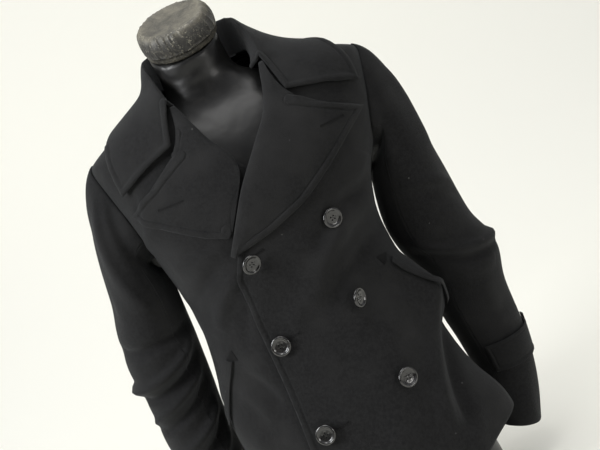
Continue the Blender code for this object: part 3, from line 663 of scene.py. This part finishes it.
# ---- The buttons
# Polished dark resin, turned with a raised rim and a dished middle, with four holes. Each is held
# by two bars of waxed thread on a short shank.

def make_resin():
    material = bpy.data.materials.new("polished_resin")
    material.use_nodes = True
    nodes, links = material.node_tree.nodes, material.node_tree.links
    shader = nodes["Principled BSDF"]
    where = nodes.new("ShaderNodeTexCoord")
    swirl = noise_node(nodes, links, where.outputs["Object"], 90, 5, 0.6, 1.5)
    tone = mix_colours(
        nodes, links, ramp_node(nodes, links, swirl.outputs["Fac"], 0.4, 0.7),
        (0.004, 0.004, 0.004), (0.013, 0.012, 0.011),
    )
    links.new(tone.outputs["Result"], shader.inputs["Base Color"])
    scuffs = noise_node(nodes, links, where.outputs["Object"], 700, 4, 0.7)
    rough = nodes.new("ShaderNodeMapRange")
    rough.inputs["To Min"].default_value = 0.16
    rough.inputs["To Max"].default_value = 0.30
    shader.inputs["Specular IOR Level"].default_value = 0.6
    links.new(scuffs.outputs["Fac"], rough.inputs["Value"])
    links.new(rough.outputs["Result"], shader.inputs["Roughness"])
    shader.inputs["Coat Weight"].default_value = 0.3
    shader.inputs["Coat Roughness"].default_value = 0.05
    return material


resin = make_resin()

PROFILE = (
    (0.0000, 0.00215), (0.0072, 0.00215), (0.0088, 0.00235), (0.0098, 0.0029), (0.0106, 0.0038), (0.0116, 0.0044),
    (0.0128, 0.0043), (0.0139, 0.0035), (0.0144, 0.0025), (0.0142, 0.0014), (0.0130, 0.0005), (0.0105, 0.0), (0.0, 0.0),
)


def make_button():
    """Spins the outline into a disc, then drills and softens four holes."""
    bpy.ops.object.select_all(action="DESELECT")
    mesh = bpy.data.meshes.new("button_blank")
    mesh.from_pydata([(r, 0, z) for r, z in PROFILE], [(i, i + 1) for i in range(len(PROFILE) - 1)], [])
    blank = bpy.data.objects.new("button_blank", mesh)
    bpy.context.scene.collection.objects.link(blank)
    fresh_selection(blank)
    bpy.ops.object.mode_set(mode="EDIT")
    bpy.ops.mesh.select_all(action="SELECT")
    bpy.ops.mesh.spin(steps=56, angle=2 * math.pi, center=(0, 0, 0), axis=(0, 0, 1))
    bpy.ops.mesh.select_all(action="SELECT")
    bpy.ops.mesh.remove_doubles(threshold=0.00001)
    bpy.ops.mesh.normals_make_consistent(inside=False)
    bpy.ops.object.mode_set(mode="OBJECT")
    bpy.ops.object.select_all(action="DESELECT")
    drills = []
    for quarter in range(4):
        angle = math.radians(45 + 90 * quarter)
        bpy.ops.mesh.primitive_cylinder_add(
            vertices=20, radius=0.00115, depth=0.02,
            location=(0.0030 * math.cos(angle), 0.0030 * math.sin(angle), 0),
        )
        drills.append(bpy.context.object)
    for drill in drills:
        hole = blank.modifiers.new("hole", "BOOLEAN")
        hole.object = drill
        hole.solver = "EXACT"
        fresh_selection(blank)
        bpy.ops.object.modifier_apply(modifier="hole")
    soften = blank.modifiers.new("soften", "BEVEL")
    soften.width = 0.00022
    soften.segments = 2
    soften.angle_limit = math.radians(40)
    bpy.ops.object.modifier_apply(modifier="soften")
    bpy.ops.object.shade_smooth_by_angle(angle=math.radians(40))
    for drill in drills:
        bpy.data.objects.remove(drill)
    return blank


def make_bars():
    """Two bars of thread over the button and the shank under it."""
    bpy.ops.object.select_all(action="DESELECT")
    made = []
    for across in (-0.0021, 0.0021):
        for strand in (-0.00036, 0.00036):
            bpy.ops.mesh.primitive_cylinder_add(
                vertices=10, radius=0.00038, depth=0.0052,
                location=(across + strand, 0, 0.0024), rotation=(math.pi / 2, 0, 0),
            )
            made.append(bpy.context.object)
    bpy.ops.mesh.primitive_cylinder_add(vertices=16, radius=0.0022, depth=0.0034, location=(0, 0, -0.0013))
    made.append(bpy.context.object)
    fresh_selection(*made)
    bpy.ops.object.join()
    bars = bpy.context.object
    bpy.ops.object.mode_set(mode="EDIT")
    bpy.ops.mesh.select_all(action="SELECT")
    bpy.ops.mesh.bevel(offset=0.00025, segments=2, affect="EDGES")
    bpy.ops.object.mode_set(mode="OBJECT")
    bpy.ops.object.shade_smooth()
    return bars


button_blank, bars_blank = make_button(), make_bars()
# Each button hangs a little its own way: solid, tilt about the leaning upright, turn in its plane
BUTTON_LEANS = (
    ("button_left_1", -3, 10), ("button_left_2", 40, 34), ("button_left_3", 3, 80),
    ("button_right_1", 38, 20), ("button_right_2", 2, 88), ("button_right_3", -3, 42),
)
BUTTON_SWING = 0.0110  # how far a leaning button's middle comes off the cloth at a right angle
for solid, tilt, turn in BUTTON_LEANS:
    corners = np.array([vertex.co for vertex in solids[solid].data.vertices])
    middle = (corners.min(axis=0) + corners.max(axis=0)) / 2
    ways = np.linalg.svd(corners - corners.mean(axis=0), full_matrices=False)[2]
    out = Vector(ways[2])
    out = out if out.y < 0 else -out
    lift = BUTTON_SWING * abs(math.sin(math.radians(tilt)))
    base = Vector(middle) + out * (lift - 0.0022) + Vector(body_swell(middle[None])[0])
    stand = out.to_track_quat("Z", "Y").to_matrix()
    lean = Matrix.Rotation(math.radians(tilt), 3, Vector((0.45, 0, 0.89)))
    spin = Matrix.Rotation(math.radians(turn), 3, "Z")
    place = Matrix.Translation(base) @ (lean @ stand @ spin).to_4x4()
    for blank, name, finish in ((button_blank, f"{solid}_disc", resin), (bars_blank, f"{solid}_thread", thread)):
        piece = bpy.data.objects.new(name, blank.data.copy())
        bpy.context.scene.collection.objects.link(piece)
        piece.data.transform(place)
        piece.data.materials.clear()
        piece.data.materials.append(finish)
        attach(piece, "root")
        if finish is resin:
            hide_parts(solid)
for blank in (button_blank, bars_blank):
    bpy.data.objects.remove(blank)


# ---- The dress form
# A smooth limbless form under the coat, covered in dark glossy vinyl, with a round cap on the
# neck. Only the neck, the cap and the hips show.

def make_vinyl():
    material = bpy.data.materials.new("glossy_vinyl")
    material.use_nodes = True
    nodes, links = material.node_tree.nodes, material.node_tree.links
    shader = nodes["Principled BSDF"]
    where = nodes.new("ShaderNodeTexCoord")
    scuff = noise_node(nodes, links, where.outputs["Object"], 38, 6, 0.65, 0.8)
    tone = mix_colours(
        nodes, links, ramp_node(nodes, links, scuff.outputs["Fac"], 0.5, 0.75),
        (0.005, 0.005, 0.005), (0.014, 0.013, 0.012),
    )
    links.new(tone.outputs["Result"], shader.inputs["Base Color"])
    rough = nodes.new("ShaderNodeMapRange")
    rough.inputs["To Min"].default_value = 0.26
    rough.inputs["To Max"].default_value = 0.52
    shader.inputs["Specular IOR Level"].default_value = 0.3
    links.new(scuff.outputs["Fac"], rough.inputs["Value"])
    links.new(rough.outputs["Result"], shader.inputs["Roughness"])
    ripple = noise_node(nodes, links, where.outputs["Object"], 22, 2, 0.5, 0.4)
    bump = nodes.new("ShaderNodeBump")
    bump.inputs["Strength"].default_value = 0.35
    bump.inputs["Distance"].default_value = 0.004
    links.new(ripple.outputs["Fac"], bump.inputs["Height"])
    links.new(bump.outputs["Normal"], shader.inputs["Normal"])
    shader.inputs["Coat Weight"].default_value = 0.08
    shader.inputs["Coat Roughness"].default_value = 0.15
    return material


vinyl = make_vinyl()
torso = bpy.data.objects.new("form_torso_cover", solids["form_torso"].data.copy())
bpy.context.scene.collection.objects.link(torso)
torso.data.materials.clear()
torso.data.materials.append(vinyl)
fresh_selection(torso)
bpy.ops.object.mode_set(mode="EDIT")
bpy.ops.mesh.select_all(action="SELECT")
bpy.ops.mesh.remove_doubles(threshold=0.00002)
bpy.ops.mesh.tris_convert_to_quads(face_threshold=math.radians(60), shape_threshold=math.radians(80))
bpy.ops.mesh.select_all(action="DESELECT")
bpy.ops.mesh.edges_select_sharp(sharpness=math.radians(60))
bpy.ops.transform.edge_crease(value=0.9)
bpy.ops.object.mode_set(mode="OBJECT")
smooth = torso.modifiers.new("smooth", "SUBSURF")
smooth.levels = smooth.render_levels = 2
bpy.ops.object.modifier_apply(modifier="smooth")
bpy.ops.object.shade_smooth()
places, ways = points_of(torso), normals_of(torso)
wrap = np.array([noise.noise(Vector((x * 30, y * 30, z * 90))) for x, y, z in places])
put_points(torso, places + ways * (wrap * 0.0012 * np.clip((places[:, 2] - 0.74) / 0.03, 0, 1))[:, None])
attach(torso, "root")
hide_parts("form_torso")


# ---- The cap on the neck
# A turned disc with a shallow dished top. Its cover is gathered over the rim in small tucks, held
# by a cord, and worn pale on the rim and on the tucks. Its top is painted paler than its side, as a
# painted reflection of the light falling on it.

CAP_RADIUS = 0.0568
CAP_OUTLINE = (
    (0.0000, 0.0112), (0.0130, 0.0113), (0.0250, 0.0118), (0.0262, 0.0121),
    (0.0275, 0.0119), (0.0380, 0.0122), (0.0420, 0.0126),
    (0.0445, 0.0136), (0.0470, 0.0140), (0.0500, 0.0128), (0.0528, 0.0100),
    (0.0550, 0.0058), (0.0562, 0.0010), (0.0568, -0.0040),
    (0.0567, -0.0090), (0.0562, -0.0138), (0.0566, -0.0150), (0.0570, -0.0163), (0.0564, -0.0176), (0.0553, -0.0186),
    (0.0548, -0.0220), (0.0542, -0.0270), (0.0480, -0.0272), (0.0, -0.0272),
)


def make_cap_cover():
    material = bpy.data.materials.new("gathered_cover")
    material.use_nodes = True
    nodes, links = material.node_tree.nodes, material.node_tree.links
    shader = nodes["Principled BSDF"]
    around = nodes.new("ShaderNodeAttribute")
    around.attribute_name = "around"
    reach = nodes.new("ShaderNodeAttribute")
    reach.attribute_name = "reach"
    tuck = nodes.new("ShaderNodeAttribute")
    tuck.attribute_name = "tuck"
    place = around.outputs["Vector"]
    dull = noise_node(nodes, links, place, 2.2, 5, 0.65, 0.8)
    # Painted reflection: the dished top gets a far paler colour than the side, standing in for the light it reflects.
    top = mix_colours(
        nodes, links, ramp_node(nodes, links, dull.outputs["Fac"], 0.35, 0.7),
        (0.045, 0.042, 0.034), (0.125, 0.115, 0.088),
    )
    side = mix_colours(
        nodes, links, ramp_node(nodes, links, dull.outputs["Fac"], 0.45, 0.75),
        (0.012, 0.011, 0.010), (0.034, 0.031, 0.026),
    )
    # The pale painted-reflection colour inside the rim, the darker side colour from the rim outward.
    edge = mix_colours(nodes, links, ramp_node(nodes, links, reach.outputs["Fac"], 0.90, 1.0), (0, 0, 0), (0, 0, 0))
    links.new(top.outputs["Result"], edge.inputs["A"])
    links.new(side.outputs["Result"], edge.inputs["B"])
    scratch = noise_node(nodes, links, place, 9, 6, 0.75, 2.5)
    worn = nodes.new("ShaderNodeMath")
    worn.operation = "MULTIPLY"
    links.new(ramp_node(nodes, links, scratch.outputs["Fac"], 0.53, 0.66), worn.inputs[0])
    links.new(tuck.outputs["Fac"], worn.inputs[1])
    pale = mix_colours(nodes, links, worn.outputs["Value"], (0, 0, 0), (0.34, 0.32, 0.25))
    links.new(edge.outputs["Result"], pale.inputs["A"])
    links.new(pale.outputs["Result"], shader.inputs["Base Color"])
    rough = nodes.new("ShaderNodeMapRange")
    rough.inputs["To Min"].default_value = 0.34
    rough.inputs["To Max"].default_value = 0.62
    links.new(dull.outputs["Fac"], rough.inputs["Value"])
    links.new(rough.outputs["Result"], shader.inputs["Roughness"])
    bump = nodes.new("ShaderNodeBump")
    bump.inputs["Strength"].default_value = 0.5
    bump.inputs["Distance"].default_value = 0.0008
    links.new(scratch.outputs["Fac"], bump.inputs["Height"])
    links.new(bump.outputs["Normal"], shader.inputs["Normal"])
    return material


bpy.ops.object.select_all(action="DESELECT")
mesh = bpy.data.meshes.new("cap")
mesh.from_pydata([(r, 0, z) for r, z in CAP_OUTLINE], [(i, i + 1) for i in range(len(CAP_OUTLINE) - 1)], [])
cap = bpy.data.objects.new("cap_cover", mesh)
bpy.context.scene.collection.objects.link(cap)
fresh_selection(cap)
bpy.ops.object.mode_set(mode="EDIT")
bpy.ops.mesh.select_all(action="SELECT")
bpy.ops.mesh.spin(steps=220, angle=2 * math.pi, center=(0, 0, 0), axis=(0, 0, 1))
bpy.ops.mesh.select_all(action="SELECT")
bpy.ops.mesh.remove_doubles(threshold=0.00001)
bpy.ops.mesh.normals_make_consistent(inside=False)
bpy.ops.object.mode_set(mode="OBJECT")
smooth = cap.modifiers.new("smooth", "SUBSURF")
smooth.levels = smooth.render_levels = 1
bpy.ops.object.modifier_apply(modifier="smooth")
bpy.ops.object.shade_smooth()
places = points_of(cap)
radius = np.linalg.norm(places[:, :2], axis=1)
turn = np.arctan2(places[:, 1], places[:, 0])
lean = turn + places[:, 2] * 4 + 0.05 * np.sin(turn * 7)
tucks = np.clip(np.sin(lean * 31 + 1.6 * np.sin(turn * 3)), 0, 1) ** 3 + 0.6 * np.clip(np.sin(lean * 19 + 2), 0, 1) ** 4
on_band = np.clip((radius - 0.046) / 0.006, 0, 1) * np.clip((places[:, 2] + 0.0165) / 0.003, 0, 1)
low_band = np.clip((-0.0180 - places[:, 2]) / 0.002, 0, 1) * (radius > 0.05)
dents = np.array([noise.noise(Vector((math.cos(a) * 3, math.sin(a) * 3, z * 90))) for a, z in zip(turn, places[:, 2])])
out = normals_of(cap)
swell = 0.0011 * tucks * on_band + 0.0006 * tucks * low_band + 0.0007 * dents * (radius > 0.04)
put_points(cap, places + out * swell[:, None])
cap.data.attributes.new("reach", "FLOAT", "POINT").data.foreach_set("value", (radius / CAP_RADIUS).astype(np.float32))
rim_wear = np.exp(-(((radius - 0.0478) / 0.0022) ** 2)) * (places[:, 2] > 0.008)
cord_wear = np.exp(-(((places[:, 2] + 0.0163) / 0.0012) ** 2)) * (radius > 0.05)
wear = np.clip(0.28 + 0.9 * tucks * on_band + 1.0 * rim_wear + 1.0 * cord_wear, 0, 1)
cap.data.attributes.new("tuck", "FLOAT", "POINT").data.foreach_set("value", wear.astype(np.float32))
chart = np.stack([places[:, 0] / CAP_RADIUS, places[:, 1] / CAP_RADIUS, places[:, 2] * 20], axis=1)
cap.data.attributes.new("around", "FLOAT_VECTOR", "POINT").data.foreach_set("vector", chart.astype(np.float32).ravel())
cap.data.transform(Matrix.Translation((-0.006, -0.020, 0.836)) @ Euler((math.radians(30), 0, 0)).to_matrix().to_4x4())
cap.data.materials.append(make_cap_cover())
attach(cap, "root")
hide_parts("form_cap")


# ---- Floor, light and camera
# A seamless off-white sweep, one broad soft light high on the left, a low fill on the right, and
# the camera held tilted in front.

def make_paper():
    material = bpy.data.materials.new("sweep_paper")
    material.use_nodes = True
    shader = material.node_tree.nodes["Principled BSDF"]
    shader.inputs["Base Color"].default_value = (0.62, 0.615, 0.565, 1)
    shader.inputs["Roughness"].default_value = 0.9
    shader.inputs["Emission Color"].default_value = (1.0, 0.99, 0.93, 1)
    shader.inputs["Emission Strength"].default_value = 0.30
    return material


bpy.ops.object.select_all(action="DESELECT")
bpy.ops.mesh.primitive_plane_add(size=1, location=(0, 0, 0))
sweep = bpy.context.object
sweep.name = "sweep"
mesh = bpy.data.meshes.new("sweep")
cove = [(0.9 + 0.9 * math.sin(a), 0.9 - 0.9 * math.cos(a)) for a in np.linspace(0.15, math.pi / 2, 12)]
profile = [(-5.0, 0.0), (0.9, 0.0)] + cove + [(1.8, 5.0)]
corners = [(x, y, z) for y, z in profile for x in (-5, 5)]
mesh.from_pydata(corners, [], [(2 * i, 2 * i + 1, 2 * i + 3, 2 * i + 2) for i in range(len(profile) - 1)])
sweep.data = mesh
mesh.materials.append(make_paper())
bpy.ops.object.shade_smooth()

world = bpy.data.worlds.new("soft_room")
bpy.context.scene.world = world
world.use_nodes = True
nodes, links = world.node_tree.nodes, world.node_tree.links
way = nodes.new("ShaderNodeTexCoord")
parts = nodes.new("ShaderNodeSeparateXYZ")
links.new(way.outputs["Generated"], parts.inputs["Vector"])
ahead = ramp_node(nodes, links, parts.outputs["Y"], -0.75, 0.35)
above = ramp_node(nodes, links, parts.outputs["Z"], 0.10, 0.85)
room = nodes.new("ShaderNodeMath")
room.operation = "MAXIMUM"
links.new(ahead, room.inputs[0])
links.new(above, room.inputs[1])
sky = mix_colours(nodes, links, room.outputs["Value"], (0.05, 0.05, 0.05), (0.95, 0.97, 1.0))
seen = nodes.new("ShaderNodeLightPath")
pale = mix_colours(nodes, links, seen.outputs["Is Camera Ray"], (0, 0, 0), (1.40, 1.39, 1.28))
links.new(sky.outputs["Result"], pale.inputs["A"])
links.new(pale.outputs["Result"], nodes["Background"].inputs["Color"])
nodes["Background"].inputs["Strength"].default_value = 0.6


def add_light(name, at, to, size, power, colour):
    lamp = bpy.data.lights.new(name, "AREA")
    lamp.shape = "RECTANGLE"
    lamp.size, lamp.size_y = size
    lamp.energy = power
    lamp.color = colour
    made = bpy.data.objects.new(name, lamp)
    bpy.context.scene.collection.objects.link(made)
    made.location = at
    made.rotation_euler = (Vector(to) - Vector(at)).to_track_quat("-Z", "Y").to_euler()


add_light("window", (-1.7, -0.9, 1.4), (0, 0, 0.45), (0.8, 1.0), 48, (0.98, 0.99, 1.0))
add_light("ceiling", (0.2, -0.4, 2.4), (0, 0, 0.4), (1.4, 0.9), 20, (1.0, 0.99, 0.97))
add_light("fill", (1.6, -1.9, 0.8), (0, 0, 0.4), (0.8, 0.8), 14, (1.0, 0.98, 0.95))
bpy.context.scene.view_settings.view_transform = "Standard"

azimuth, elevation, roll = math.radians(0.12), math.radians(6.8), math.radians(26.9)
forward = Vector((
    math.sin(azimuth) * math.cos(elevation),
    math.cos(azimuth) * math.cos(elevation),
    -math.sin(elevation),
))
level = Vector((math.cos(azimuth), -math.sin(azimuth), 0))
upward = level.cross(forward)
right = level * math.cos(roll) - upward * math.sin(roll)
up = level * math.sin(roll) + upward * math.cos(roll)
lens = bpy.data.cameras.new("camera")
lens.sensor_width = 36
lens.lens = 53.82
camera = bpy.data.objects.new("camera", lens)
bpy.context.scene.collection.objects.link(camera)
camera.matrix_world = Matrix((
    (right.x, up.x, -forward.x, 0.023),
    (right.y, up.y, -forward.y, -1.326),
    (right.z, up.z, -forward.z, 0.657),
    (0, 0, 0, 1),
))
bpy.context.scene.camera = camera
